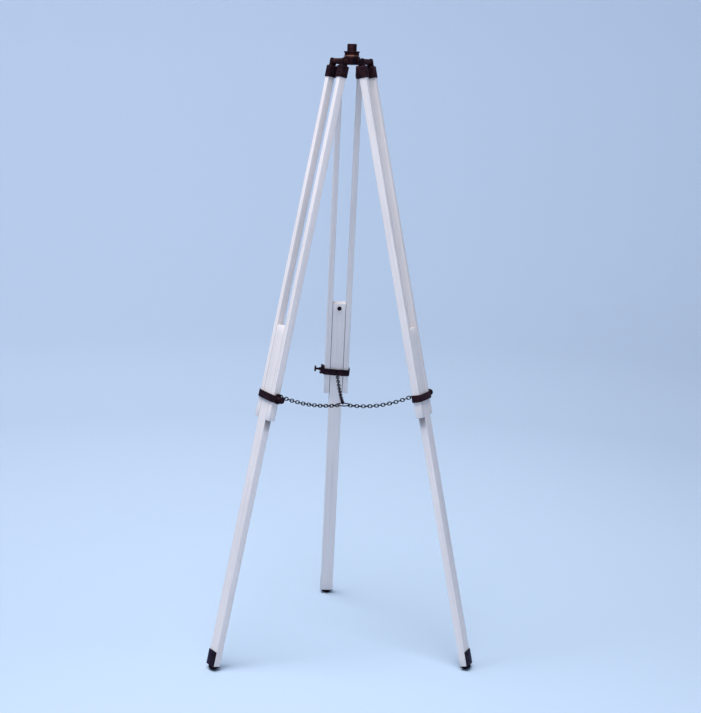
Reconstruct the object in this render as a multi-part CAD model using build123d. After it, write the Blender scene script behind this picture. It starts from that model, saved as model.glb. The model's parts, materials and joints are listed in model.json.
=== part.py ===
from build123d import *
import os
from math import cos, radians, sin

# Wooden field tripod with a metal head, three two-section legs and a chain spreader.
# Millimetres and degrees. +Z is up, the floor is z = 0 and the head's axis is x = y = 0.
# The back leg stands along +Y.

# ---------------------------------------------------------------- driving dimensions
# Where the legs hang and how far they spread
hinge_height = 1264.2
hinge_radius = 31.4
leg_azimuth = {"left": 210.0, "right": 330.0, "back": 90.0}
leg_splay = {"left": 12.4, "right": 12.6, "back": 12.4}

# What differs from leg to leg: the rails' length, how far the lower leg is drawn out,
# where the clamp is set and how far it is tilted (positive lifts the thumbscrew)
rail_end = {"left": 752.0, "right": 742.5, "back": 757.0}
lower_leg_top = {"left": 554.0, "right": 555.0, "back": 537.0}
clamp_station = {"left": 703.0, "right": 701.5, "back": 703.5}
clamp_tilt = {"left": -3.2, "right": -0.6, "back": 4.0}

# Spindle that carries the instrument
stud_radius = 10.0
stud_seat_depth = 2.0
stud_relief_radius = 9.4
stud_relief_rise = 1.0
stud_top = 1300.0
flange_top = 1285.0
flange_radius = 16.7
neck_radius = 15.0
neck_bottom = 1277.0
shank_radius = 5.0
shank_bottom = 1258.6
bearing_ring_radius = 16.0
spindle_gap = 0.1
spindle_nut_flats = 15.0
spindle_nut_height = 4.2
spindle_washer_radius = 9.0
spindle_washer_height = 0.8

# Head casting
head_body_radius = 17.4
head_body_top = 1274.4
head_body_bottom = 1257.5
nut_recess_radius = 9.6
nut_recess_height = 6.6
arm_width = 14.0
arm_height = 10.5
barrel_radius = 6.0
barrel_length = 36.4
running_clearance = 0.05

# Rails of the upper leg
rail_width = 12.0
rail_depth = 16.0
rail_gap = 30.0
wood_edge_radius = 1.2

# Rail caps and the pivot bolt through them
cap_wall = 1.3
cap_inner_wall = 2.6
cap_corner = 1.2
cap_top = 9.5
cap_bottom = 33.5
cap_roof = 2.0
tongue_thickness = 5.0
tongue_radius = 7.5
pivot_radius = 2.5
pivot_head_radius = 4.8
pivot_head_height = 3.4
pivot_nut_flats = 8.0
pivot_nut_height = 3.6
cap_screw_station = 22.0

# Lower leg that slides between the rails
slide_clearance = 0.55
lower_leg_inset = 0.3

# Small wood screws
screw_radius = 1.4
screw_head_radius = 2.6
screw_head_height = 1.2
screw_length = 7.0
slot_width = 0.7
slot_depth = 0.6

# Stop screw on the inner face of the lower leg
stop_screw_drop = 11.5
stop_head_radius = 4.8
stop_head_height = 3.2
stop_shank_radius = 1.8
stop_shank_length = 11.0

# Foot
plate_thickness = 2.0
plate_length = 31.0
foot_radius = 10.2
foot_rim_height = 3.4
foot_crown_height = 4.6
foot_pin_radius = 2.5
foot_pin_length = 16.0
foot_screw_stations = (8.0, 22.0)

# Clamp band with its screw boss
band_height = 15.2
band_wall = 1.8
band_slack_across = 1.2
band_slack_deep = 0.8
band_inner_corner = 3.2
pad_room = 3.4
boss_thickness = 3.6
boss_half_width = 5.6
boss_rise = 12.0
boss_drop = 8.5
toe_length = 2.2
toe_height = 2.0
screw_rise = 1.6
pad_thickness = 1.2
pad_half_width = 5.6
pad_half_height = 5.2
pad_gap = 0.6

# Thumbscrew
thumb_shank_radius = 2.5
thumb_disc_start = 11.0
thumb_disc_radius = 6.75
thumb_disc_thickness = 3.3
thumb_shoulder_radius = 4.2
thumb_shoulder_length = 3.2
thumb_shoulder_gap = 1.9
knurl_count = 20
knurl_radius = 0.6

# Chain spreader
link_pitch = 7.6
link_wire_radius = 1.0
link_play = 0.16
link_width = 6.4
eye_ring_radius = 3.2
eye_wire_radius = 0.9
eye_play = 0.3
eye_stem_radius = 1.3
eye_stem_length = 1.6
eye_rise = 4.0
ring_radius = 13.4
ring_wire_radius = 1.2
ring_position = (4.2, -0.6, 539.8)

# ---------------------------------------------------------------- derived dimensions
rail_centre = rail_gap / 2 + rail_width / 2
leg_half_width = rail_gap / 2 + rail_width
lower_width = rail_gap - 2 * slide_clearance
lower_depth = rail_depth - 2 * lower_leg_inset
crown_sphere = (foot_radius ** 2 + foot_crown_height ** 2) / (2 * foot_crown_height)
foot_height = plate_thickness + foot_rim_height + foot_crown_height
boss_inner = leg_half_width + pad_room
boss_outer = boss_inner + band_wall + boss_thickness
band_inside = rail_depth / 2 + band_slack_deep
band_face = band_inside + band_wall
eye_centre_n = -(band_face + eye_stem_length + eye_ring_radius)

os.makedirs("parts", exist_ok=True)


# ---------------------------------------------------------------- helpers
def block(x, y, z):
    """A box between two limits on each axis."""
    size = [high - low for low, high in (x, y, z)]
    middle = [(low + high) / 2 for low, high in (x, y, z)]
    return Pos(*middle) * Box(*size)


def rod_z(radius, low, high):
    """A cylinder along Z at the origin."""
    return Pos(0, 0, (low + high) / 2) * Cylinder(radius, high - low)


def rod_x(radius, low, high, y=0.0, z=0.0):
    """A cylinder along X."""
    return Pos((low + high) / 2, y, z) * Rot(0, 90, 0) * Cylinder(radius, high - low)


def rod_y(radius, low, high, x=0.0, z=0.0):
    """A cylinder along Y."""
    return Pos(x, (low + high) / 2, z) * Rot(90, 0, 0) * Cylinder(radius, high - low)


def hexagon(flats, height):
    """A hexagonal prism along Z, standing on the XY plane."""
    return extrude(RegularPolygon(flats / 2, 6, major_radius=False), height)


def lathe(profile):
    """A solid turned about Z from (radius, height) points."""
    return revolve(Plane.XZ * make_face(Polyline(*profile, close=True)), Axis.Z)


def save(name, shape):
    export_step(shape, f"parts/{name}.step")


def leg_frame(leg):
    """The leg's own frame: X across the leg, Y outwards from its face, Z down its length,
    with the origin on the pivot's axis."""
    azimuth = radians(leg_azimuth[leg])
    splay = radians(leg_splay[leg])
    outward = Vector(cos(azimuth), sin(azimuth), 0)
    across = Vector(-sin(azimuth), cos(azimuth), 0)
    down = outward * sin(splay) - Vector(0, 0, cos(splay))
    origin = outward * hinge_radius + Vector(0, 0, hinge_height)
    return Plane(origin=origin, x_dir=across, z_dir=down)


def clamp_frame(leg):
    """The clamp's own frame: the leg's, moved down to the clamp and tilted with it."""
    return leg_frame(leg).location * Pos(0, 0, clamp_station[leg]) * Rot(0, clamp_tilt[leg], 0)


def leg_end(leg):
    """Distance from the pivot to the lower leg's end, with the foot's crown on the floor."""
    to_floor = hinge_height - crown_sphere
    return to_floor / cos(radians(leg_splay[leg])) + crown_sphere - foot_height


# ---------------------------------------------------------------- head
def head_spider():
    """Round hub with three arms, each ending in a barrel that a leg hangs from."""
    hub = rod_z(head_body_radius, head_body_bottom, head_body_top)
    hub = fillet(hub.edges().group_by(Axis.Z)[-1], 1.6)
    hub = chamfer(hub.edges().group_by(Axis.Z)[0], 1.0)
    arm_top = hinge_height + barrel_radius
    arm = block((head_body_radius - 4, hinge_radius), (-arm_width / 2, arm_width / 2),
                (arm_top - arm_height, arm_top))
    arm = fillet(arm.edges().filter_by(Axis.X), 2.0)
    barrel = rod_y(barrel_radius, -barrel_length / 2, barrel_length / 2, hinge_radius, hinge_height)
    barrel = chamfer(barrel.edges().filter_by(GeomType.CIRCLE), 0.7)
    pivot_bore = rod_y(pivot_radius + running_clearance, -barrel_length, barrel_length,
                       hinge_radius, hinge_height)
    head = hub
    for azimuth in leg_azimuth.values():
        head += Rot(0, 0, azimuth) * (arm + barrel)
    for azimuth in leg_azimuth.values():
        head -= Rot(0, 0, azimuth) * pivot_bore
    head -= rod_z(shank_radius + running_clearance, head_body_bottom - 1, head_body_top + 1)
    head -= rod_z(nut_recess_radius, head_body_bottom - 1, head_body_bottom + nut_recess_height)
    return head


def spindle_stud():
    """Stud that the instrument fits on, let into the flange, with a shank through the hub."""
    base = flange_top - stud_seat_depth
    thread_start = flange_top + stud_relief_rise
    stud = rod_z(stud_radius, thread_start, stud_top)
    stud = chamfer(stud.edges().group_by(Axis.Z)[-1], 1.0)
    stud += rod_z(stud_relief_radius, base, thread_start)
    return stud + rod_z(shank_radius, shank_bottom, base)


def spindle_flange():
    """Flange that the instrument rests on, on a narrower neck, bored for the stud."""
    base = flange_top - stud_seat_depth
    seat_radius = stud_radius + running_clearance
    return lathe([(shank_radius, neck_bottom), (neck_radius, neck_bottom),
                  (neck_radius, flange_top - 5.0), (flange_radius - 0.8, flange_top - 2.4),
                  (flange_radius, flange_top - 1.6), (flange_radius, flange_top),
                  (seat_radius, flange_top), (seat_radius, base), (shank_radius, base)])


def bearing_ring():
    """Bright ring between the neck and the hub."""
    low = head_body_top + spindle_gap
    ring = rod_z(bearing_ring_radius, low, neck_bottom)
    ring = fillet(ring.edges().group_by(Axis.Z)[-1], 0.8)
    return ring - rod_z(shank_radius, low - 1, neck_bottom + 1)


def spindle_washer():
    """Washer under the roof of the hub's recess."""
    high = head_body_bottom + nut_recess_height - spindle_gap
    low = high - spindle_washer_height
    return rod_z(spindle_washer_radius, low, high) - rod_z(shank_radius, low - 1, high + 1)


def spindle_nut():
    """Nut that holds the spindle in the hub."""
    high = head_body_bottom + nut_recess_height - spindle_gap - spindle_washer_height
    low = high - spindle_nut_height
    nut = Pos(0, 0, low) * hexagon(spindle_nut_flats, spindle_nut_height)
    return nut - rod_z(shank_radius, low - 1, high + 1)


# ---------------------------------------------------------------- upper leg
def rail(side, end):
    """One of the two wooden rails, with pilot holes for the cap's screws."""
    middle = side * rail_centre
    wood = block((middle - rail_width / 2, middle + rail_width / 2), (-rail_depth / 2, rail_depth / 2),
                 (cap_top + cap_roof, end))
    wood = fillet(wood.edges().filter_by(Axis.Z), wood_edge_radius)
    for face in (-1, 1):
        wood -= cap_screw_shank(side, face)
    return wood


def cap(side):
    """Metal socket over a rail's top, with the tongue that hangs on the pivot bolt."""
    middle = side * rail_centre
    near_side = side * (rail_gap / 2 - cap_inner_wall)
    far_side = side * (rail_gap / 2 + rail_width + cap_wall)
    half_depth = rail_depth / 2 + cap_wall
    socket = block((min(near_side, far_side), max(near_side, far_side)), (-half_depth, half_depth),
                   (cap_top, cap_bottom))
    socket = fillet(socket.edges().filter_by(Axis.Z), cap_corner)
    socket = chamfer(socket.edges().group_by(Axis.Z)[0], 0.8)
    socket -= block((middle - rail_width / 2, middle + rail_width / 2),
                    (-rail_depth / 2, rail_depth / 2), (cap_top + cap_roof, cap_bottom + 1))
    inner = middle - tongue_thickness / 2
    outer = middle + tongue_thickness / 2
    tongue = block((inner, outer), (-tongue_radius, tongue_radius), (0, cap_top + 1))
    tongue += rod_x(tongue_radius, inner, outer)
    shape = socket + tongue
    shape -= rod_x(pivot_radius, inner - 1, outer + 1)
    for face in (-1, 1):
        shape -= cap_screw_shank(side, face)
    return shape


def cap_screw_shank(side, face):
    """Shank of the screw through a cap's inner (-1) or outer (+1) face."""
    surface = face * (rail_depth / 2 + cap_wall)
    tip = surface - face * screw_length
    return rod_y(screw_radius, min(surface, tip), max(surface, tip), side * rail_centre,
                 cap_screw_station)


def slotted_head_y(x, surface, z, face):
    """Domed and slotted screw head on a surface that faces along Y."""
    return Pos(x, surface, z) * Rot(-90 * face, 0, 0) * screw_head()


def screw_head():
    """Low domed head standing on the XY plane, with a slot."""
    head = rod_z(screw_head_radius, 0, screw_head_height)
    head = fillet(head.edges().group_by(Axis.Z)[-1], 0.8)
    slot = block((-screw_head_radius, screw_head_radius), (-slot_width / 2, slot_width / 2),
                 (screw_head_height - slot_depth, screw_head_height + 1))
    return head - slot


def cap_screws():
    """The four screws that hold a leg's two caps on its rails."""
    screws = []
    for side in (-1, 1):
        for face in (-1, 1):
            surface = face * (rail_depth / 2 + cap_wall)
            head = slotted_head_y(side * rail_centre, surface, cap_screw_station, face)
            screws.append(head + cap_screw_shank(side, face))
    return screws


def pivot_bolt():
    """Bolt through both caps and the head's barrel, its head on the left-hand side."""
    outer = rail_centre + tongue_thickness / 2
    head = rod_x(pivot_head_radius, -outer - pivot_head_height, -outer)
    head = fillet(head.edges().group_by(Axis.X)[0], 1.4)
    head -= block((-outer - pivot_head_height - 1, -outer - pivot_head_height + 1.2),
                  (-pivot_head_radius, pivot_head_radius), (-slot_width, slot_width))
    end = outer + pivot_nut_height + 0.8
    shank = rod_x(pivot_radius, -outer, end)
    shank = chamfer(shank.edges().group_by(Axis.X)[-1], 0.5)
    return head + shank


def pivot_nut():
    """Nut on the pivot bolt."""
    outer = rail_centre + tongue_thickness / 2
    nut = Pos(outer, 0, 0) * Rot(0, 90, 0) * hexagon(pivot_nut_flats, pivot_nut_height)
    return nut - rod_x(pivot_radius, outer - 1, outer + pivot_nut_height + 1)


# ---------------------------------------------------------------- clamp
def clamp_band():
    """Band round the rails, with the boss that the thumbscrew runs in. In the clamp's frame."""
    half = band_height / 2
    left = -leg_half_width - band_slack_across
    room = block((left, boss_inner), (-band_inside, band_inside), (-half - 1, half + 1))
    room = fillet(room.edges().filter_by(Axis.Z), band_inner_corner)
    band = block((left - band_wall, boss_inner + band_wall), (-band_face, band_face), (-half, half))
    band = fillet(band.edges().filter_by(Axis.Z), band_inner_corner + band_wall)
    boss = block((boss_inner, boss_outer), (-boss_half_width, boss_half_width),
                 (-boss_rise, boss_drop))
    boss = fillet(boss.edges().filter_by(Axis.X), 2.0)
    toe = block((boss_outer - 1, boss_outer + toe_length), (-boss_half_width + 1, boss_half_width - 1),
                (boss_drop - toe_height, boss_drop))
    shape = band + boss + toe - room
    shape -= rod_x(thumb_shank_radius + running_clearance, boss_inner - 1, boss_outer + 1,
                   0, -screw_rise)
    return shape


def clamp_pad():
    """Pressure pad between the thumbscrew's tip and the rail. In the clamp's frame."""
    start = leg_half_width + pad_gap
    pad = block((start, start + pad_thickness), (-pad_half_width, pad_half_width),
                (-screw_rise - pad_half_height, -screw_rise + pad_half_height))
    return fillet(pad.edges().filter_by(Axis.X), 1.5)


def thumbscrew():
    """Thumbscrew with a shoulder and a knurled disc head. In the clamp's frame."""
    tip = leg_half_width + pad_gap + pad_thickness
    disc_start = boss_outer + thumb_disc_start
    disc_end = disc_start + thumb_disc_thickness
    shank = rod_x(thumb_shank_radius, tip, disc_start + 1, 0, -screw_rise)
    shoulder = Cone(thumb_shoulder_radius, thumb_shank_radius, thumb_shoulder_length)
    shoulder_middle = boss_outer + thumb_shoulder_gap + thumb_shoulder_length / 2
    shoulder = Pos(shoulder_middle, 0, -screw_rise) * Rot(0, 90, 0) * shoulder
    disc = rod_x(thumb_disc_radius, disc_start, disc_end, 0, -screw_rise)
    disc = chamfer(disc.edges().filter_by(GeomType.CIRCLE), 0.6)
    for number in range(knurl_count):
        angle = radians(360.0 / knurl_count * number)
        disc -= rod_x(knurl_radius, disc_start - 1, disc_end + 1, thumb_disc_radius * cos(angle),
                      -screw_rise + thumb_disc_radius * sin(angle))
    return shank + shoulder + disc


def chain_eye():
    """Wire eye on a stem, on the inner face of the clamp band. In the clamp's frame."""
    ring = Pos(0, eye_centre_n, -eye_rise) * Rot(0, 90, 0) * Torus(eye_ring_radius, eye_wire_radius)
    stem_start = -band_face - eye_stem_length - 0.3
    return ring + rod_y(eye_stem_radius, stem_start, -band_face, 0, -eye_rise)


# ---------------------------------------------------------------- lower leg
def lower_leg(top, end):
    """Wooden lower leg, drilled for the stop screw, the foot's screws and its pin."""
    wood = block((-lower_width / 2, lower_width / 2), (-lower_depth / 2, lower_depth / 2), (top, end))
    wood = fillet(wood.edges().filter_by(Axis.Z), wood_edge_radius)
    wood = chamfer(wood.edges().group_by(Axis.Z)[0], 0.8)
    wood -= rod_y(stop_shank_radius, -lower_depth / 2 - 1, -lower_depth / 2 + stop_shank_length,
                  0, top + stop_screw_drop)
    wood -= rod_z(foot_pin_radius, end - foot_pin_length, end + 1)
    for station in foot_screw_stations:
        wood -= foot_screw_shank(end - station)
    return wood


def stop_screw(top):
    """Round-headed screw that meets the clamp band when the leg is fully drawn out."""
    station = top + stop_screw_drop
    face = -lower_depth / 2
    head = rod_y(stop_head_radius, face - stop_head_height, face, 0, station)
    head = fillet(head.edges().group_by(Axis.Y)[0], 1.6)
    head -= block((-stop_head_radius, stop_head_radius), (face - stop_head_height - 1,
                  face - stop_head_height + 0.9), (station - slot_width, station + slot_width))
    return head + rod_y(stop_shank_radius, face, face + stop_shank_length, 0, station)


def foot_screw_shank(station):
    """Shank of a screw through the foot plate's outer face."""
    surface = lower_depth / 2 + plate_thickness
    return rod_y(screw_radius, surface - screw_length, surface, 0, station)


def foot_plate(end):
    """Angle plate on the lower leg's outer face, turned in under its end."""
    half_width = lower_width / 2
    face = lower_depth / 2
    plate = block((-half_width, half_width), (-face, face + plate_thickness),
                  (end - plate_length, end + plate_thickness))
    plate -= block((-half_width - 1, half_width + 1), (-face - 1, face), (end - plate_length - 1, end))
    corner = plate.edges().filter_by(Axis.X).group_by(Axis.Z)[-1].sort_by(Axis.Y)[-1]
    plate = fillet(corner, plate_thickness - 0.2)
    plate -= rod_z(foot_pin_radius, end - 1, end + plate_thickness + 1)
    for station in foot_screw_stations:
        plate -= foot_screw_shank(end - station)
    return plate


def foot_screws(end):
    """The two screws through the foot plate."""
    surface = lower_depth / 2 + plate_thickness
    screws = []
    for station in foot_screw_stations:
        head = slotted_head_y(0, surface, end - station, 1)
        screws.append(head + foot_screw_shank(end - station))
    return screws


def foot_dome(end):
    """Round foot with a crowned underside and a pin up into the leg."""
    rim_start = end + plate_thickness
    rim_end = rim_start + foot_rim_height
    rim = rod_z(foot_radius, rim_start, rim_end)
    rim = chamfer(rim.edges().group_by(Axis.Z)[0], 0.6)
    ball_centre = end + foot_height - crown_sphere
    crown = Pos(0, 0, ball_centre) * Sphere(crown_sphere)
    crown &= rod_z(foot_radius, rim_end - 0.5, end + foot_height + 1)
    return rim + crown + rod_z(foot_pin_radius, end - foot_pin_length, rim_start + 1)


# ---------------------------------------------------------------- chain spreader
def chain_joints(leg):
    """Points where one link passes to the next, from the eye to the ring."""
    eye = (clamp_frame(leg) * Pos(0, eye_centre_n, -eye_rise)).position
    centre = Vector(*ring_position)
    level = Vector(eye.X - centre.X, eye.Y - centre.Y, 0)
    towards = level.normalized()
    inner = ring_radius - ring_wire_radius - link_play / 2
    outer = level.length - (eye_ring_radius - eye_wire_radius - eye_play)
    curve = (eye.Z - centre.Z) / (level.length - inner) ** 2

    def at(distance):
        return centre + towards * distance + Vector(0, 0, curve * (distance - inner) ** 2)

    steps = 4000
    width = (outer - inner) / steps
    lengths = [0.0]
    for step in range(steps):
        here = at(inner + width * step)
        there = at(inner + width * (step + 1))
        lengths.append(lengths[-1] + (there - here).length)
    count = 2 * round(lengths[-1] / link_pitch / 2)
    points = []
    step = 0
    for number in range(count + 1):
        target = lengths[-1] * number / count
        while step < steps and lengths[step] < target:
            step += 1
        points.append(at(inner + width * step))
    return points[::-1]


def chain_link(pitch):
    """One oval link, lying in its own XY plane with its length along X."""
    link_length = pitch + 2 * link_wire_radius + link_play
    path = SlotCenterToCenter(link_length - link_width, link_width).face().outer_wire()
    section = Plane(origin=path @ 0, z_dir=path % 0) * Circle(link_wire_radius)
    return sweep(section, path=path)


def chain(leg):
    """The chain from the leg's eye to the ring. Each link is turned a quarter from the last."""
    points = chain_joints(leg)
    link = chain_link((points[1] - points[0]).length)
    links = []
    for number, (start, stop) in enumerate(zip(points, points[1:])):
        along = (stop - start).normalized()
        level = along.cross(Vector(0, 0, 1)).normalized()
        upright = number % 2 == 1
        normal = level if upright else along.cross(level)
        seat = Plane(origin=(start + stop) / 2, x_dir=along, z_dir=normal)
        links.append(seat.location * link)
    return links


def chain_ring():
    """Plain wire ring that the three chains meet on."""
    return Pos(*ring_position) * Torus(ring_radius, ring_wire_radius)


# ---------------------------------------------------------------- write every node
save("head_spider", head_spider())
save("spindle_stud", spindle_stud())
save("spindle_flange", spindle_flange())
save("bearing_ring", bearing_ring())
save("spindle_washer", spindle_washer())
save("spindle_nut", spindle_nut())
save("chain_ring", chain_ring())

for leg in leg_azimuth:
    seat = leg_frame(leg).location
    clamp_seat = clamp_frame(leg)
    top = lower_leg_top[leg]
    end = leg_end(leg)
    pieces = {
        "rail_a": seat * rail(-1, rail_end[leg]),
        "rail_b": seat * rail(1, rail_end[leg]),
        "cap_a": seat * cap(-1),
        "cap_b": seat * cap(1),
        "cap_screws": Compound(children=[seat * screw for screw in cap_screws()]),
        "pivot_bolt": seat * pivot_bolt(),
        "pivot_nut": seat * pivot_nut(),
        "clamp_band": clamp_seat * clamp_band(),
        "clamp_pad": clamp_seat * clamp_pad(),
        "thumbscrew": clamp_seat * thumbscrew(),
        "chain_eye": clamp_seat * chain_eye(),
        "lower_leg": seat * lower_leg(top, end),
        "stop_screw": seat * stop_screw(top),
        "foot_plate": seat * foot_plate(end),
        "foot_screws": Compound(children=[seat * screw for screw in foot_screws(end)]),
        "foot_dome": seat * foot_dome(end),
        "chain": Compound(children=chain(leg)),
    }
    for name, piece in pieces.items():
        save(f"{name}_{leg}", piece)
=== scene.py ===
import json
from math import atan2, cos, hypot, pi, radians, sin

import bmesh
import bpy
from mathutils import Matrix, Vector, noise


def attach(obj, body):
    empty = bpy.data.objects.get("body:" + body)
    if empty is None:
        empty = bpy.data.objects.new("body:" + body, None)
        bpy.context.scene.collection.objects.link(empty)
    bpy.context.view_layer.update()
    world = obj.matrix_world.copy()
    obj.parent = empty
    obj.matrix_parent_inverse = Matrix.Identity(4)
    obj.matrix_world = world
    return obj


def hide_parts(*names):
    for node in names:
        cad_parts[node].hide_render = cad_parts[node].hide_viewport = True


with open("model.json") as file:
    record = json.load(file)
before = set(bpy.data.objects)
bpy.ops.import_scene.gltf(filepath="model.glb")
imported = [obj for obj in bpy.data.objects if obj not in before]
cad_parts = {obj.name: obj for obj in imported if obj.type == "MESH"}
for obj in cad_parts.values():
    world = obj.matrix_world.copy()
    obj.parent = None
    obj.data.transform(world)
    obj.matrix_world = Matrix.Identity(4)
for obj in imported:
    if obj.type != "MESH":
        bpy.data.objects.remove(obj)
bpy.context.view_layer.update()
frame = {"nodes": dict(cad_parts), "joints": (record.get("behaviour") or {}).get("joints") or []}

LEGS = ("left", "right", "back")
MM = 0.001
# Where the thumbscrew stands in its clamp, in millimetres
SCREW_REACH = 28.0
SCREW_RISE = 1.6

# ---------------------------------------------------------------- camera
# The viewer stands in front of the two front legs, a little to the left, and looks slightly down.
CAMERA_DISTANCE = 2.9834
CAMERA_HEIGHT = 1.2192
CAMERA_SIDE_TURN = radians(4.44)
CAMERA_PITCH = radians(10.88)
CAMERA_PAN = radians(0.31)
CAMERA_ROLL = radians(1.74)
CAMERA_LENS = 71.59
SENSOR = 36.0


def make_camera():
    turn = Matrix.Rotation(-CAMERA_SIDE_TURN, 3, "Z")
    forward = Vector((sin(CAMERA_PAN) * cos(CAMERA_PITCH), cos(CAMERA_PAN) * cos(CAMERA_PITCH),
                      -sin(CAMERA_PITCH)))
    level = Vector((cos(CAMERA_PAN), -sin(CAMERA_PAN), 0))
    up = level.cross(forward)
    right = cos(CAMERA_ROLL) * level + sin(CAMERA_ROLL) * up
    top = cos(CAMERA_ROLL) * up - sin(CAMERA_ROLL) * level
    axes = Matrix((turn @ right, turn @ top, -(turn @ forward))).transposed()
    place = turn @ Vector((0, -CAMERA_DISTANCE, CAMERA_HEIGHT))
    data = bpy.data.cameras.new("camera")
    data.lens = CAMERA_LENS
    data.sensor_width = SENSOR
    camera = bpy.data.objects.new("camera", data)
    camera.matrix_world = Matrix.Translation(place) @ axes.to_4x4()
    bpy.context.scene.collection.objects.link(camera)
    bpy.context.scene.camera = camera


make_camera()


# ---------------------------------------------------------------- floor, backdrop and light
KEY_POWER = 258
FILL_POWER = 20
WALL_POWER = 202
REAR_WALL_POWER = 150
FLOOR_POWER = 37
SKY_STRENGTH = 0.10
SKY_COLOUR = (0.58, 0.78, 1.0, 1)
UNDERFOOT_COLOUR = (0.455, 0.56, 0.69, 1)
FLOOR_COLOUR = (0.39, 0.475, 0.60, 1)
WALL_COLOUR = (0.50, 0.60, 0.755, 1)


def make_floor():
    """A pale round floor that curves up into a backdrop on every side."""
    reach, bend, height, segments, bend_steps = 3.8, 4.2, 7.0, 96, 16
    profile = [(0.5, 0.0), (2.0, 0.0), (reach, 0.0)]
    for step in range(1, bend_steps + 1):
        angle = radians(90.0 * step / bend_steps)
        profile.append((reach + bend * sin(angle), bend - bend * cos(angle)))
    profile.append((reach + bend, height))
    vertices = [(0.0, 0.0, 0.0)]
    for radius, level in profile:
        for step in range(segments):
            angle = 2 * pi * step / segments
            vertices.append((radius * cos(angle), radius * sin(angle), level))
    faces = [(0, 1 + step, 1 + (step + 1) % segments) for step in range(segments)]
    for row in range(len(profile) - 1):
        start = 1 + row * segments
        for step in range(segments):
            following = (step + 1) % segments
            faces.append((start + step, start + segments + step,
                          start + segments + following, start + following))
    mesh = bpy.data.meshes.new("backdrop")
    mesh.from_pydata(vertices, [], faces)
    mesh.shade_smooth()
    floor = bpy.data.objects.new("backdrop", mesh)
    bpy.context.scene.collection.objects.link(floor)
    floor.data.materials.append(backdrop_material())


def backdrop_material():
    """Pale blue, coloured by the distance from the middle of the floor."""
    material = bpy.data.materials.new("backdrop")
    material.use_nodes = True
    nodes, links = material.node_tree.nodes, material.node_tree.links
    shader = nodes["Principled BSDF"]
    place = nodes.new("ShaderNodeTexCoord")
    distance = nodes.new("ShaderNodeVectorMath")
    distance.operation = "LENGTH"
    span = nodes.new("ShaderNodeMapRange")
    span.inputs["From Min"].default_value = 0.2
    span.inputs["From Max"].default_value = 7.0
    ramp = nodes.new("ShaderNodeValToRGB")
    ramp.color_ramp.elements[0].color = UNDERFOOT_COLOUR
    ramp.color_ramp.elements[1].color = WALL_COLOUR
    ramp.color_ramp.elements.new(0.3).color = FLOOR_COLOUR
    links.new(place.outputs["Object"], distance.inputs[0])
    links.new(distance.outputs["Value"], span.inputs["Value"])
    links.new(span.outputs[0], ramp.inputs[0])
    links.new(ramp.outputs[0], shader.inputs["Base Color"])
    shader.inputs["Roughness"].default_value = 0.9
    shader.inputs["Specular IOR Level"].default_value = 0.1
    return material


make_floor()


def area_light(name, place, aim, size, power, colour=(1, 1, 1)):
    data = bpy.data.lights.new(name, "AREA")
    data.shape = "RECTANGLE"
    data.size, data.size_y = size
    data.energy = power
    data.color = colour
    light = bpy.data.objects.new(name, data)
    light.location = place
    light.rotation_euler = (Vector(aim) - Vector(place)).to_track_quat("-Z", "Y").to_euler()
    bpy.context.scene.collection.objects.link(light)


def make_lights():
    """A soft key from above on the left, a weak fill, and lights for the floor and the backdrop."""
    area_light("key", (-0.8, -0.95, 4.5), (0, 0, 0.6), (3.2, 2.2), KEY_POWER, (0.97, 0.98, 1.0))
    area_light("fill", (0.4, -4.3, 1.6), (0, 0, 0.6), (2.5, 2.5), FILL_POWER, (1.0, 0.98, 0.96))
    area_light("backdrop_light", (-0.8, 1.8, 4.6), (-0.4, 7.0, 2.6), (4.0, 2.0), WALL_POWER)
    area_light("rear_light", (0.8, -1.8, 4.6), (0.4, -7.0, 2.6), (4.0, 2.0), REAR_WALL_POWER)
    area_light("floor_light", (0, 0.8, 4.6), (0, 0.8, 0), (5.0, 4.0), FLOOR_POWER)
    world = bpy.data.worlds.new("world")
    world.use_nodes = True
    world.node_tree.nodes["Background"].inputs["Color"].default_value = SKY_COLOUR
    world.node_tree.nodes["Background"].inputs["Strength"].default_value = SKY_STRENGTH
    bpy.context.scene.world = world
    bpy.context.scene.view_settings.view_transform = "Standard"


make_lights()


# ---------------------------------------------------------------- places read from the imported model
def joint(name):
    return next(j for j in frame["joints"] if j["name"] == name)


def leg_matrix(leg):
    """The leg's own frame: X across it, Y out of its outer face, Z down its length, in metres."""
    across = -Vector(joint(f"fold_{leg}")["axis"])
    down = Vector(joint(f"extend_{leg}")["axis"])
    axes = Matrix((across, down.cross(across), down)).transposed()
    return Matrix.Translation(Vector(joint(f"fold_{leg}")["pos_m"])) @ axes.to_4x4()


def clamp_matrix(leg):
    """The clamp's own frame, tilted with it: X along the thumbscrew, Y outwards, Z down."""
    screw = joint(f"thumbscrew_turn_{leg}")
    along = Vector(screw["axis"])
    outward = LEG_MATRIX[leg].to_3x3().col[1]
    axes = Matrix((along, outward, along.cross(outward))).transposed().to_4x4()
    on_screw = Matrix.Translation(Vector(screw["pos_m"])) @ axes
    return on_screw @ Matrix.Translation((-SCREW_REACH * MM, 0, SCREW_RISE * MM))


LEG_MATRIX = {leg: leg_matrix(leg) for leg in LEGS}
CLAMP_MATRIX = {leg: clamp_matrix(leg) for leg in LEGS}


def local_box(node, matrix):
    """Lowest and highest corner of a CAD node in another frame, in millimetres."""
    inverse = matrix.inverted()
    points = [inverse @ vertex.co for vertex in frame["nodes"][node].data.vertices]
    low = [min(point[axis] for point in points) / MM for axis in range(3)]
    high = [max(point[axis] for point in points) / MM for axis in range(3)]
    return low, high


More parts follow.
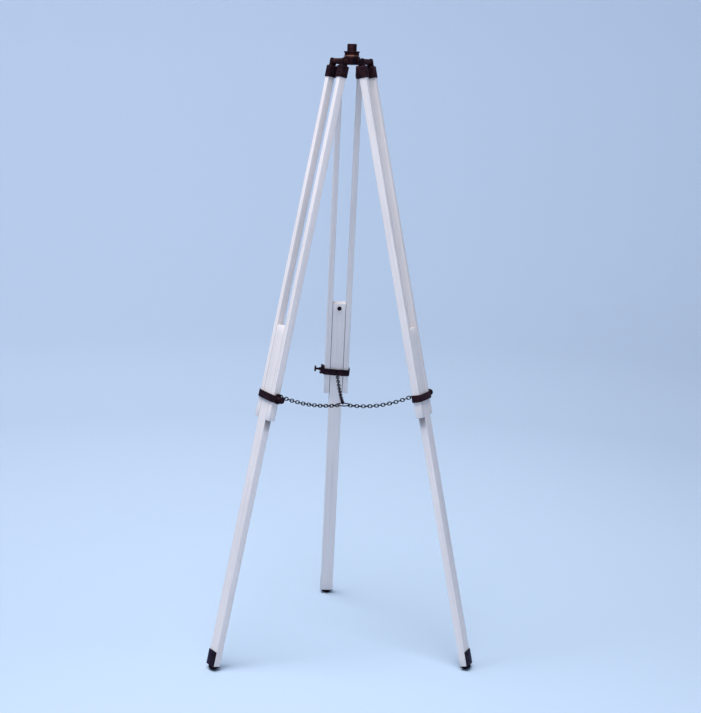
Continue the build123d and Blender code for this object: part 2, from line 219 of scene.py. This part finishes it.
# ---------------------------------------------------------------- materials
class Shader:
    """A Principled material with short ways to add the nodes used here."""

    def __init__(self, name, **constants):
        self.material = bpy.data.materials.new(name)
        self.material.use_nodes = True
        self.tree = self.material.node_tree
        self.main = self.tree.nodes["Principled BSDF"]
        for socket, value in constants.items():
            self.main.inputs[socket.replace("_", " ")].default_value = value
        self.place = self.add("TexCoord").outputs["Object"]

    def add(self, kind, **inputs):
        node = self.tree.nodes.new("ShaderNode" + kind)
        for name, value in inputs.items():
            self.feed(node.inputs[name.replace("_", " ")], value)
        return node

    def feed(self, socket, value):
        if isinstance(value, bpy.types.NodeSocket):
            self.tree.links.new(value, socket)
        else:
            socket.default_value = value

    def noise(self, vector, scale, detail=3.0, roughness=0.5, distortion=0.0):
        return self.add("TexNoise", Vector=vector, Scale=scale, Detail=detail, Roughness=roughness,
                        Distortion=distortion).outputs["Fac"]

    def ramp(self, value, stops):
        node = self.add("ValToRGB", Fac=value)
        elements = node.color_ramp.elements
        while len(elements) < len(stops):
            elements.new(0.5)
        for element, (position, colour) in zip(elements, stops):
            element.position = position
            element.color = (*colour, 1)
        return node.outputs[0]

    def grey(self, value, low, high, at_low=0.0, at_high=1.0):
        node = self.add("MapRange", Value=value)
        node.inputs["From Min"].default_value = low
        node.inputs["From Max"].default_value = high
        node.inputs["To Min"].default_value = at_low
        node.inputs["To Max"].default_value = at_high
        return node.outputs[0]

    def mix(self, factor, first, second, blend="MIX"):
        node = self.add("Mix")
        node.data_type = "RGBA"
        node.blend_type = blend
        self.feed(node.inputs[0], factor)
        self.feed(node.inputs[6], first)
        self.feed(node.inputs[7], second)
        return node.outputs[2]

    def math(self, operation, first, second=0.0):
        node = self.add("Math")
        node.operation = operation
        self.feed(node.inputs[0], first)
        self.feed(node.inputs[1], second)
        return node.outputs[0]

    def edges(self, low, high):
        """1 on raised edges, 0 on flats."""
        geometry = self.add("NewGeometry")
        return self.grey(geometry.outputs["Pointiness"], low, high)

    def bump(self, heights):
        """Bumps from (height, distance in metres, strength), one over the other."""
        normal = None
        for height, distance, strength in heights:
            node = self.add("Bump", Height=height, Distance=distance, Strength=strength)
            if normal is not None:
                self.feed(node.inputs["Normal"], normal)
            normal = node.outputs[0]
        self.feed(self.main.inputs["Normal"], normal)

    def finish(self, colour, roughness, metallic=None):
        self.feed(self.main.inputs["Base Color"], colour)
        self.feed(self.main.inputs["Roughness"], roughness)
        if metallic is not None:
            self.feed(self.main.inputs["Metallic"], metallic)
        return self.material


def painted_wood(leg, part):
    """White paint brushed along the grain, with painted shade where rails and lower leg overlap and
    below the rail ends.
    """
    shader = Shader(f"painted_{part}_{leg}", Specular_IOR_Level=0.45, Coat_Weight=0.12,
                    Coat_Roughness=0.35)
    inverse = LEG_MATRIX[leg].inverted()
    turned = shader.add("Mapping", Vector=shader.place, Rotation=tuple(inverse.to_euler()),
                        Location=tuple(inverse.translation)).outputs[0]

    def stretched(across, along):
        return shader.add("Mapping", Vector=turned, Scale=(across, across, along)).outputs[0]

    brush = shader.noise(stretched(420, 7), 1.0, 4.0, 0.6)
    grain = shader.noise(stretched(110, 2.6), 1.0, 5.0, 0.55, 0.6)
    cloud = shader.noise(stretched(16, 4), 1.0, 3.0)
    speck = shader.noise(stretched(650, 380), 1.0, 2.0)
    colour = shader.ramp(cloud, [(0.3, (0.725, 0.665, 0.655)), (0.7, (0.80, 0.73, 0.72))])
    shade = shader.ramp(grain, [(0.32, (0.84, 0.84, 0.87)), (0.5, (1, 1, 1))])
    colour = shader.mix(0.6, colour, shade, "MULTIPLY")
    streak = shader.ramp(brush, [(0.3, (0.92, 0.92, 0.93)), (0.6, (1, 1, 1))])
    colour = shader.mix(0.6, colour, streak, "MULTIPLY")
    worn = shader.math("MULTIPLY", shader.edges(0.53, 0.64), shader.grey(cloud, 0.52, 0.66))
    colour = shader.mix(shader.math("MULTIPLY", worn, 0.35), colour, (0.55, 0.50, 0.46, 1))
    place = shader.add("SeparateXYZ", Vector=turned)
    facing = shader.add("VectorMath")
    facing.operation = "DOT_PRODUCT"
    shader.feed(facing.inputs[0], shader.add("TexCoord").outputs["Normal"])
    shader.feed(facing.inputs[1], tuple(LEG_MATRIX[leg].to_3x3().col[0]))
    station = shader.math("ADD", place.outputs["Z"],
                          shader.grey(grain, 0.3, 0.7, -0.0015, 0.0015))
    # Painted shade: the lower leg's side faces are darkened where the rails cover them and in a
    # shadow that fades out 26 mm below the rail ends; the rails' inner faces are darkened, more where
    # they cover the lower leg.
    if part == "lower_leg":
        side = shader.grey(shader.math("ABSOLUTE", facing.outputs["Value"]), 0.80, 0.95)
        end = local_box(f"rail_a_{leg}", LEG_MATRIX[leg])[1][2] * MM
        wear_and_shade = shader.math("MULTIPLY", shader.grey(station, end, end + 0.026, 1.0, 0.0),
                             shader.grey(station, end - 0.05, end - 0.01, 0.3, 1.0))
    else:
        inward = shader.math("MULTIPLY", facing.outputs["Value"],
                             shader.math("SIGN", place.outputs["X"]))
        side = shader.grey(inward, -0.80, -0.95)
        start = local_box(f"lower_leg_{leg}", LEG_MATRIX[leg])[0][2] * MM
        wear_and_shade = shader.grey(station, start - 0.006, start + 0.004, 0.06, 0.3)
    painted_shade = shader.math("POWER", wear_and_shade, 0.75)
    # The painted shade is mixed in as dark grey on those faces.
    colour = shader.mix(shader.math("MULTIPLY", shader.math("MULTIPLY", painted_shade, side), 0.94),
                        colour, (0.155, 0.13, 0.13, 1))
    shader.bump([(grain, 0.0005, 0.25), (brush, 0.00025, 0.22), (speck, 0.00012, 0.12)])
    rough = shader.grey(brush, 0.3, 0.7, 0.40, 0.54)
    return shader.finish(colour, rough)


def bronze(name, dark=(0.009, 0.006, 0.011), brown=(0.030, 0.012, 0.016),
           wear_and_shade=(0.12, 0.045, 0.035), wear=0.45, roughness=(0.42, 0.62),
           metallic=(0.8, 0.5), specular=0.14, tint=(1.0, 0.66, 0.72)):
    """Dark oil-rubbed bronze, brown where the finish is thin and coppery on worn edges."""
    shader = Shader(name, Specular_IOR_Level=specular, Specular_Tint=(*tint, 1))
    cloud = shader.noise(shader.place, 55, 4.0, 0.55)
    fine = shader.noise(shader.place, 420, 4.0, 0.6)
    pits = shader.noise(shader.place, 1300, 2.0, 0.5)
    colour = shader.ramp(cloud, [(0.38, dark), (0.66, brown)])
    patchy = shader.math("MULTIPLY", shader.edges(0.51, 0.60), shader.grey(fine, 0.38, 0.6))
    colour = shader.mix(shader.math("MULTIPLY", patchy, wear), colour, (*wear_and_shade, 1))
    shader.bump([(cloud, 0.0006, 0.25), (fine, 0.0003, 0.35), (pits, 0.00012, 0.3)])
    rough = shader.grey(fine, 0.3, 0.7, *roughness)
    return shader.finish(colour, rough, shader.grey(cloud, 0.3, 0.7, *metallic))


RAIL_WOOD = {leg: painted_wood(leg, "rails") for leg in LEGS}
LOWER_WOOD = {leg: painted_wood(leg, "lower_leg") for leg in LEGS}
BRONZE = bronze("dark_bronze")
HUB_BRONZE = bronze("hub_bronze", brown=(0.042, 0.013, 0.011), wear=0.4)
COPPER = bronze("copper_bronze", dark=(0.17, 0.075, 0.055), brown=(0.30, 0.14, 0.10),
                wear_and_shade=(0.42, 0.22, 0.16), roughness=(0.40, 0.52), metallic=(0.9, 0.75),
                specular=0.4, tint=(1.0, 0.85, 0.8))
CHAIN = bronze("chain_bronze", dark=(0.002, 0.002, 0.005), brown=(0.006, 0.004, 0.008),
               wear_and_shade=(0.04, 0.024, 0.024), wear=0.25, roughness=(0.55, 0.7),
               metallic=(0.3, 0.2), specular=0.08)
PLATE = bronze("plate_bronze", dark=(0.005, 0.005, 0.012), brown=(0.015, 0.008, 0.017),
               wear_and_shade=(0.07, 0.04, 0.045), wear=0.35, tint=(0.85, 0.75, 1.0))
FOOT = bronze("foot_bronze", dark=(0.002, 0.002, 0.005), brown=(0.006, 0.004, 0.007),
              wear_and_shade=(0.05, 0.03, 0.03), wear=0.2, roughness=(0.6, 0.75),
              metallic=(0.25, 0.15), specular=0.08)


# ---------------------------------------------------------------- mesh building
# Every shape below is built in millimetres in the frame that its matrix gives.
def add_piece(name, mesh, matrix, body, material, nodes, smooth_angle=38.0):
    """Put a mesh in place as a piece that rides on a body and stands for CAD nodes."""
    mesh.transform(matrix @ Matrix.Scale(MM, 4))
    shell = bmesh.new()
    shell.from_mesh(mesh)
    bmesh.ops.recalc_face_normals(shell, faces=shell.faces)
    shell.to_mesh(mesh)
    shell.free()
    mesh.shade_smooth()
    mesh.set_sharp_from_angle(angle=radians(smooth_angle))
    mesh.materials.clear()
    mesh.materials.append(material)
    piece = bpy.data.objects.new(name, mesh)
    bpy.context.scene.collection.objects.link(piece)
    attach(piece, body)
    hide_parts(*nodes)


def from_rings(rings, loop=False):
    """A skin over rings of points, all with the same count: a loop, or with its ends closed."""
    count = len(rings[0])
    vertices = [point for ring in rings for point in ring]
    faces = []
    spans = len(rings) if loop else len(rings) - 1
    for row in range(spans):
        below = row * count
        above = (row + 1) % len(rings) * count
        for column in range(count):
            following = (column + 1) % count
            faces.append((below + column, below + following, above + following, above + column))
    if not loop:
        faces.append(tuple(range(count))[::-1])
        faces.append(tuple(range((len(rings) - 1) * count, len(rings) * count)))
    mesh = bpy.data.meshes.new("shape")
    mesh.from_pydata(vertices, [], faces)
    return mesh


def rounded_loop(half_x, half_y, corner, per_corner=5, per_side=1):
    """Points round a rectangle with rounded corners, in the XY plane."""
    points = []
    for turn, (sign_x, sign_y) in enumerate(((1, 1), (-1, 1), (-1, -1), (1, -1))):
        centre = (sign_x * (half_x - corner), sign_y * (half_y - corner))
        for step in range(per_corner + 1):
            angle = radians(90 * turn + 90 * step / per_corner)
            points.append((centre[0] + corner * cos(angle), centre[1] + corner * sin(angle)))
    if per_side > 1:
        filled = []
        for index, point in enumerate(points):
            filled.append(point)
            if index % (per_corner + 1) == per_corner:
                following = points[(index + 1) % len(points)]
                for step in range(1, per_side):
                    share = step / per_side
                    filled.append((point[0] + (following[0] - point[0]) * share,
                                   point[1] + (following[1] - point[1]) * share))
        points = filled
    return points


def turned(profile, segments, wobble=None):
    """A closed shape turned about Z from (radius, height) points. wobble(angle, radius, height)
    returns the radius there, for knurls and threads."""
    rings = []
    for radius, height in profile:
        ring = []
        for step in range(segments):
            angle = 2 * pi * step / segments
            reach = wobble(angle, radius, height) if wobble else radius
            ring.append((reach * cos(angle), reach * sin(angle), height))
        rings.append(ring)
    return from_rings(rings)


def turned_ring(profile):
    """A ring turned about Z from a closed outline of (radius, height) points."""
    segments = 96
    rings = []
    for radius, height in profile:
        rings.append([(radius * cos(2 * pi * step / segments),
                       radius * sin(2 * pi * step / segments), height)
                      for step in range(segments)])
    return from_rings(rings, loop=True)


def joined(*parts):
    """Several meshes as one, each moved by its own matrix: (mesh, matrix)."""
    shell = bmesh.new()
    for mesh, matrix in parts:
        mesh.transform(matrix)
        shell.from_mesh(mesh)
        bpy.data.meshes.remove(mesh)
    result = bpy.data.meshes.new("shape")
    shell.to_mesh(result)
    shell.free()
    return result


def melted(mesh, voxel, smoothing):
    """The union of a mesh's closed parts, with soft inner corners, as one skin."""
    piece = bpy.data.objects.new("melt", mesh)
    bpy.context.scene.collection.objects.link(piece)
    remesh = piece.modifiers.new("remesh", "REMESH")
    remesh.mode = "VOXEL"
    remesh.voxel_size = voxel
    smooth = piece.modifiers.new("smooth", "SMOOTH")
    smooth.factor = 0.5
    smooth.iterations = smoothing
    bpy.context.view_layer.update()
    result = bpy.data.meshes.new_from_object(
        piece.evaluated_get(bpy.context.evaluated_depsgraph_get()))
    bpy.data.objects.remove(piece)
    return result


def softened(mesh, width, segments):
    """The mesh with its sharp edges rounded."""
    piece = bpy.data.objects.new("soften", mesh)
    bpy.context.scene.collection.objects.link(piece)
    bevel = piece.modifiers.new("bevel", "BEVEL")
    bevel.width = width
    bevel.segments = segments
    bevel.limit_method = "ANGLE"
    bevel.angle_limit = radians(40)
    bpy.context.view_layer.update()
    result = bpy.data.meshes.new_from_object(
        piece.evaluated_get(bpy.context.evaluated_depsgraph_get()))
    bpy.data.objects.remove(piece)
    return result


def block(x, y, z):
    """A box between two limits on each axis."""
    corners = [(a, b, c) for c in z for b in y for a in x]
    faces = [(0, 2, 3, 1), (4, 5, 7, 6), (0, 1, 5, 4), (2, 6, 7, 3), (0, 4, 6, 2), (1, 3, 7, 5)]
    mesh = bpy.data.meshes.new("shape")
    mesh.from_pydata(corners, [], faces)
    return mesh


def extruded(outline, low, high):
    """An outline in the YZ plane drawn out along X."""
    rings = [[(x, y, z) for y, z in outline] for x in (low, high)]
    return from_rings(rings)


ALONG_X = Matrix.Rotation(radians(90), 4, "Y")
ALONG_Y = Matrix.Rotation(radians(-90), 4, "X")
STAY = Matrix.Identity(4)


# ---------------------------------------------------------------- head
def head_casting():
    """Hub, three arms and their barrels, cast in one with soft inner corners."""
    low, high = local_box("head_spider", STAY)
    bottom, top = low[2], high[2]
    hub_radius, recess_radius, recess_top = 17.4, 9.6, bottom + 6.6
    hub = turned([(0.01, recess_top), (recess_radius, recess_top), (recess_radius, bottom),
                  (hub_radius - 1.3, bottom), (hub_radius, bottom + 1.2), (hub_radius, top - 2.2),
                  (hub_radius - 0.7, top - 0.7), (hub_radius - 2.2, top), (0.01, top)], 96)
    parts = [(hub, STAY)]
    for leg in LEGS:
        pivot = LEG_MATRIX[leg].translation / MM
        turn = Matrix.Rotation(atan2(pivot.y, pivot.x), 4, "Z")
        reach = hypot(pivot.x, pivot.y)
        barrel_radius, half_length = 6.1, 18.1
        arm_top = pivot.z + barrel_radius
        sections = []
        for x, half_width, drop in ((12, 7.6, 11.2), (18, 7.3, 11.0), (24, 6.9, 10.6),
                                    (reach, 6.6, 10.2)):
            loop = rounded_loop(half_width, drop / 2, 2.4)
            sections.append([(x, y, arm_top - drop / 2 + z) for y, z in loop])
        parts.append((from_rings(sections), turn))
        barrel = turned([(0.01, -half_length), (4.6, -half_length), (5.4, -half_length + 0.3),
                         (barrel_radius, -half_length + 1.1), (barrel_radius, half_length - 1.1),
                         (5.4, half_length - 0.3), (4.6, half_length), (0.01, half_length)], 48)
        parts.append((barrel, turn @ Matrix.Translation((reach, 0, pivot.z)) @ ALONG_Y))
    mesh = melted(joined(*parts), 0.5, 5)
    add_piece("head_casting", mesh, STAY, "head", HUB_BRONZE, ["head_spider"], 60)


def instrument_stud():
    """Shank, relief groove and threaded stud with a chamfered end."""
    low, high = local_box("spindle_stud", STAY)
    bottom, top, radius, pitch, depth = low[2], high[2], 9.95, 1.6, 0.45
    seat, relief, steps = top - 17.0, top - 14.0, 96
    profile = [(0.01, bottom), (4.4, bottom), (5.0, bottom + 0.6), (5.0, seat), (9.4, seat),
               (9.4, relief - 0.4), (radius - 0.1, relief)]
    for step in range(steps + 1):
        profile.append((radius, relief + 0.1 + (top - 1.2 - relief - 0.1) * step / steps))
    profile += [(radius - 0.5, top - 0.4), (radius - 1.1, top), (3.4, top), (2.9, top - 0.5),
                (0.01, top - 1.3)]

    def thread(angle, reach, height):
        if reach < radius - 0.01:
            return reach
        turn = (height / pitch - angle / (2 * pi)) % 1.0
        groove = max(0.0, 1 - abs(turn - 0.5) / 0.36)
        fade = min(1.0, max(0.0, (height - relief) / 1.0), max(0.0, (top - 1.2 - height) / 0.8))
        return reach - depth * groove * fade

    mesh = turned(profile, 96, thread)
    add_piece("instrument_stud", mesh, STAY, "spindle", BRONZE, ["spindle_stud"], 70)


def stud_flange():
    """Flange with a coved underside on a waisted neck."""
    low, high = local_box("spindle_flange", STAY)
    bottom, top, rim = low[2], high[2], 16.7
    profile = [(10.05, top - 2.0), (10.05, top - 0.25), (10.3, top), (rim - 0.5, top),
               (rim - 0.12, top - 0.15), (rim, top - 0.5), (rim, top - 1.3), (rim - 0.2, top - 1.8),
               (rim - 0.9, top - 2.4), (rim - 1.5, top - 3.1), (rim - 1.85, top - 4.0),
               (rim - 1.9, top - 5.2), (rim - 1.7, bottom + 0.5), (rim - 2.0, bottom),
               (5.0, bottom), (5.0, top - 2.0)]
    add_piece("stud_flange", turned_ring(profile), STAY, "spindle", HUB_BRONZE,
              ["spindle_flange"], 50)


def bright_ring():
    """Bearing ring between the neck and the hub, undercut below its bright edge."""
    low, high = local_box("bearing_ring", STAY)
    bottom, top, outer = low[2], high[2], 16.0
    middle = (bottom + top) / 2
    profile = [(5.0, bottom), (outer - 1.6, bottom), (outer - 1.6, middle - 0.5),
               (outer - 1.2, middle - 0.3), (outer - 0.3, middle - 0.3), (outer, middle),
               (outer - 0.05, top - 0.6), (outer - 0.3, top - 0.2), (outer - 0.8, top), (5.0, top)]
    add_piece("bright_ring", turned_ring(profile), STAY, "spindle", COPPER,
              ["bearing_ring"], 50)


# ---------------------------------------------------------------- wood
def timber(low, high, seed):
    """A planed and painted stick: rounded arrises, eased ends and sides that aren't quite true."""
    corner, end_round, waviness = 1.5, 0.7, 0.10
    middle = [(low[axis] + high[axis]) / 2 for axis in (0, 1)]
    half = [(high[axis] - low[axis]) / 2 for axis in (0, 1)]
    length = high[2] - low[2]
    steps = 40
    stations = [(low[2], end_round), (low[2] + end_round * 0.3, end_round * 0.3),
                (low[2] + end_round, 0)]
    stations += [(low[2] + length * step / steps, 0) for step in range(1, steps)]
    stations += [(high[2] - end_round, 0), (high[2] - end_round * 0.3, end_round * 0.3),
                 (high[2], end_round)]
    rings = []
    for station, inset in stations:
        ring = []
        for x, y in rounded_loop(half[0] - inset, half[1] - inset, corner, per_side=2):
            place = Vector((x * 0.09, y * 0.09, station * 0.012 + seed * 7.3))
            swell = waviness * noise.noise(place) * min(1.0, (station - low[2]) / 8 + 0.3)
            scale = 1 + (swell - waviness * 0.5) / max(half)
            ring.append((middle[0] + x * scale, middle[1] + y * scale, station))
        rings.append(ring)
    return from_rings(rings)


def make_wood():
    for index, leg in enumerate(LEGS):
        for number, side in enumerate("ab"):
            low, high = local_box(f"rail_{side}_{leg}", LEG_MATRIX[leg])
            mesh = timber(low, high, 3 * index + number)
            add_piece(f"wood_rail_{side}_{leg}", mesh, LEG_MATRIX[leg], f"upper_{leg}",
                      RAIL_WOOD[leg], [f"rail_{side}_{leg}"])
        low, high = local_box(f"lower_leg_{leg}", LEG_MATRIX[leg])
        mesh = timber(low, high, 20 + index)
        add_piece(f"wood_lower_leg_{leg}", mesh, LEG_MATRIX[leg], f"lower_{leg}",
                  LOWER_WOOD[leg], [f"lower_leg_{leg}"])


# ---------------------------------------------------------------- rail caps
def rail_cap(low, high, rail_middle):
    """Cast socket with a rounded shoulder, open below, and the tongue above it."""
    middle_x, middle_y = (low[0] + high[0]) / 2, (low[1] + high[1]) / 2
    half_x, half_y = (high[0] - low[0]) / 2, (high[1] - low[1]) / 2
    roof, mouth, wall = 9.5, high[2], 1.3
    stations = [(roof, -1.8, 0.6), (roof + 0.25, -0.8, 1.0), (roof + 0.9, -0.2, 1.2),
                (roof + 2.0, 0.0, 1.3), (mouth - 1.4, 0.0, 1.3), (mouth - 0.5, -0.1, 1.3),
                (mouth - 0.12, -0.4, 1.2), (mouth, -0.8, 1.0), (mouth - 0.3, -wall, 0.9),
                (roof + 2.1, -wall, 1.2), (roof + 2.05, -wall - 1.5, 0.6)]
    rings = []
    for station, grow, corner in stations:
        loop = rounded_loop(half_x + grow, half_y + grow, corner)
        rings.append([(middle_x + x, middle_y + y, station) for x, y in loop])
    socket = from_rings(rings)
    tongue_radius, half_tongue, shoulder = 7.5, 2.5, 3.4
    outline = []
    for centre, start in ((tongue_radius - shoulder, 0), (shoulder - tongue_radius, 90)):
        for step in range(7):
            angle = radians(start + 90 * step / 6)
            outline.append((centre + shoulder * cos(angle), -3.0 - shoulder * sin(angle)))
    outline += [(-tongue_radius, 1.5), (-6.9, 4.5), (-6.9, 6.5), (-8.1, roof + 0.8),
                (8.1, roof + 0.8), (6.9, 6.5), (6.9, 4.5), (tongue_radius, 1.5)]
    tongue = softened(extruded(outline, rail_middle - half_tongue, rail_middle + half_tongue), 0.7, 3)
    return joined((socket, STAY), (tongue, STAY))


def make_caps():
    for leg in LEGS:
        for side in "ab":
            node = f"cap_{side}_{leg}"
            low, high = local_box(node, LEG_MATRIX[leg])
            rail_low, rail_high = local_box(f"rail_{side}_{leg}", LEG_MATRIX[leg])
            mesh = rail_cap(low, high, (rail_low[0] + rail_high[0]) / 2)
            add_piece(f"socket_{side}_{leg}", mesh, LEG_MATRIX[leg], f"upper_{leg}",
                      BRONZE, [node], 45)


# ---------------------------------------------------------------- clamps
def strap(start, end, half_height, inner_y):
    """A band bent round the rails between two limits on X, bowed and a little flared."""
    wall, corner, most_bow, flare = 1.8, 5.2, 1.2, 0.22
    left, right = start + wall / 2, end - wall / 2
    middle, half_x, half_y = (left + right) / 2, (right - left) / 2, inner_y + wall / 2
    path = rounded_loop(half_x, half_y, corner, 8, 8)
    section = rounded_loop(wall / 2, half_height, 0.75, 3, 4)
    rings = []
    for index, (x, y) in enumerate(path):
        before, after = path[index - 1], path[(index + 1) % len(path)]
        along = Vector((after[0] - before[0], after[1] - before[1])).normalized()
        out = Vector((along.y, -along.x))
        bow = most_bow * max(0.0, 1 - (x / half_x) ** 2)
        ring = []
        for across, z in section:
            lip = flare * (abs(z) / half_height) ** 4
            place = Vector((x, y)) + out * (across + bow + lip)
            ring.append((middle + place.x, place.y, z))
        rings.append(ring)
    return from_rings(rings, loop=True)


def clamp_body(leg):
    """The band with the boss for the thumbscrew brazed on, and a turned-up toe below it."""
    low, high = local_box(f"clamp_band_{leg}", CLAMP_MATRIX[leg])
    boss_outer = high[0] - 2.2
    boss_inner = boss_outer - 5.4
    band = strap(low[0], boss_inner + 1.8, 7.6, 8.8)
    top, bottom, half_width = low[2], high[2], 5.6
    outline = [(y, z + (bottom + top) / 2)
               for y, z in rounded_loop(half_width, (bottom - top) / 2, 2.6)]
    boss = extruded(outline, boss_inner + 0.6, boss_outer)
    collar = turned([(0.01, -0.5), (4.9, -0.5), (4.9, 0.9), (4.5, 1.4), (0.01, 1.4)], 48)
    toe = block((boss_outer - 1.5, high[0]), (-half_width + 1.0, half_width - 1.0),
                (bottom - 2.0, bottom))
    mesh = joined((band, STAY), (boss, STAY), (toe, STAY),
                  (collar, Matrix.Translation((boss_outer, 0, -SCREW_RISE)) @ ALONG_X))
    mesh = melted(mesh, 0.42, 4)
    add_piece(f"clamp_{leg}", mesh, CLAMP_MATRIX[leg], f"upper_{leg}", BRONZE,
              [f"clamp_band_{leg}"], 60)


def clamp_thumbscrew(leg):
    """Threaded shank, shoulder and a dished disc head with a knurled rim."""
    low, high = local_box(f"thumbscrew_{leg}", CLAMP_MATRIX[leg])
    tip, end = low[0], high[0]
    disc_start, disc_radius, shank_radius, pitch = end - 3.3, 6.75, 2.5, 1.0
    boss_outer = disc_start - 11.0
    profile = [(0.01, tip), (1.8, tip), (2.3, tip + 0.5)]
    steps = 72
    thread_start, thread_end = tip + 0.7, disc_start - 0.4
    for step in range(steps + 1):
        profile.append((shank_radius, thread_start + (thread_end - thread_start) * step / steps))
    profile += [(3.0, disc_start - 0.15), (4.0, disc_start), (disc_radius - 0.5, disc_start),
                (disc_radius, disc_start + 0.5), (disc_radius, disc_start + 1.2),
                (disc_radius, disc_start + 2.1), (disc_radius, end - 0.5), (disc_radius - 0.5, end),
                (disc_radius - 1.3, end), (disc_radius - 1.9, end - 0.45), (2.2, end - 0.6),
                (0.01, end - 0.5)]

    def detail(angle, reach, height):
        if reach > disc_radius - 0.01:
            return reach - 0.32 * (0.5 + 0.5 * cos(36 * angle))
        if abs(reach - shank_radius) < 0.001:
            turn = (height / pitch - angle / (2 * pi)) % 1.0
            return reach - 0.34 * max(0.0, 1 - abs(turn - 0.5) / 0.42)
        return reach

    screw = turned(profile, 144, detail)
    shoulder_start = boss_outer + 1.9
    shoulder = turned([(0.01, shoulder_start), (3.6, shoulder_start), (4.2, shoulder_start + 0.5),
                       (4.1, shoulder_start + 1.0), (3.3, shoulder_start + 1.7),
                       (2.7, shoulder_start + 3.0), (2.3, shoulder_start + 3.3),
                       (0.01, shoulder_start + 3.3)], 48)
    place = Matrix.Translation((0, 0, -SCREW_RISE)) @ ALONG_X
    mesh = joined((screw, place), (shoulder, place))
    add_piece(f"thumb_knob_{leg}", mesh, CLAMP_MATRIX[leg], f"screw_{leg}", BRONZE,
              [f"thumbscrew_{leg}"], 50)


# ---------------------------------------------------------------- feet
def foot_plate(leg):
    """Plate bent under the leg's end, with eased edges."""
    low, high = local_box(f"foot_plate_{leg}", LEG_MATRIX[leg])
    face, back, top, bottom = high[1], low[1], low[2], high[2]
    thickness, bend = 2.0, 1.9
    outline = [(face - thickness, top), (face, top)]
    for step in range(7):
        angle = radians(90 * step / 6)
        outline.append((face - bend + bend * cos(angle), bottom - bend + bend * sin(angle)))
    outline += [(back, bottom), (back, bottom - thickness), (face - thickness, bottom - thickness)]
    mesh = softened(extruded(outline, low[0], high[0]), 0.45, 2)
    add_piece(f"shoe_plate_{leg}", mesh, LEG_MATRIX[leg], f"lower_{leg}", PLATE,
              [f"foot_plate_{leg}"], 45)


def foot_button(leg):
    """Round foot on a pin, with a straight rim and a domed crown."""
    low, high = local_box(f"foot_dome_{leg}", LEG_MATRIX[leg])
    tip, radius, rim, crown = high[2], 10.2, 3.4, 4.6
    start = tip - crown - rim
    profile = [(0.01, low[2]), (2.5, low[2]), (2.5, start - 0.2), (radius - 0.9, start),
               (radius - 0.25, start + 0.25), (radius, start + 0.9), (radius, start + rim - 0.3)]
    ball = (radius ** 2 + crown ** 2) / (2 * crown)
    for step in range(1, 15):
        reach = radius * (1 - step / 14.5)
        profile.append((reach, tip - ball + (ball ** 2 - reach ** 2) ** 0.5))
    profile.append((0.01, tip))
    mesh = turned(profile, 72)
    add_piece(f"foot_button_{leg}", mesh, LEG_MATRIX[leg], f"lower_{leg}", FOOT,
              [f"foot_dome_{leg}"], 50)


head_casting()
instrument_stud()
stud_flange()
bright_ring()
make_wood()
make_caps()
for LEG in LEGS:
    clamp_body(LEG)
    clamp_thumbscrew(LEG)
    foot_plate(LEG)
    foot_button(LEG)


# ---------------------------------------------------------------- finish of the CAD nodes that stay
def paint(node, material):
    slots = frame["nodes"][node].data.materials
    slots.clear()
    slots.append(material)


for name in frame["nodes"]:
    if name.startswith("chain_"):
        paint(name, CHAIN)
    elif name.startswith("foot_"):
        paint(name, PLATE)
    else:
        paint(name, BRONZE)
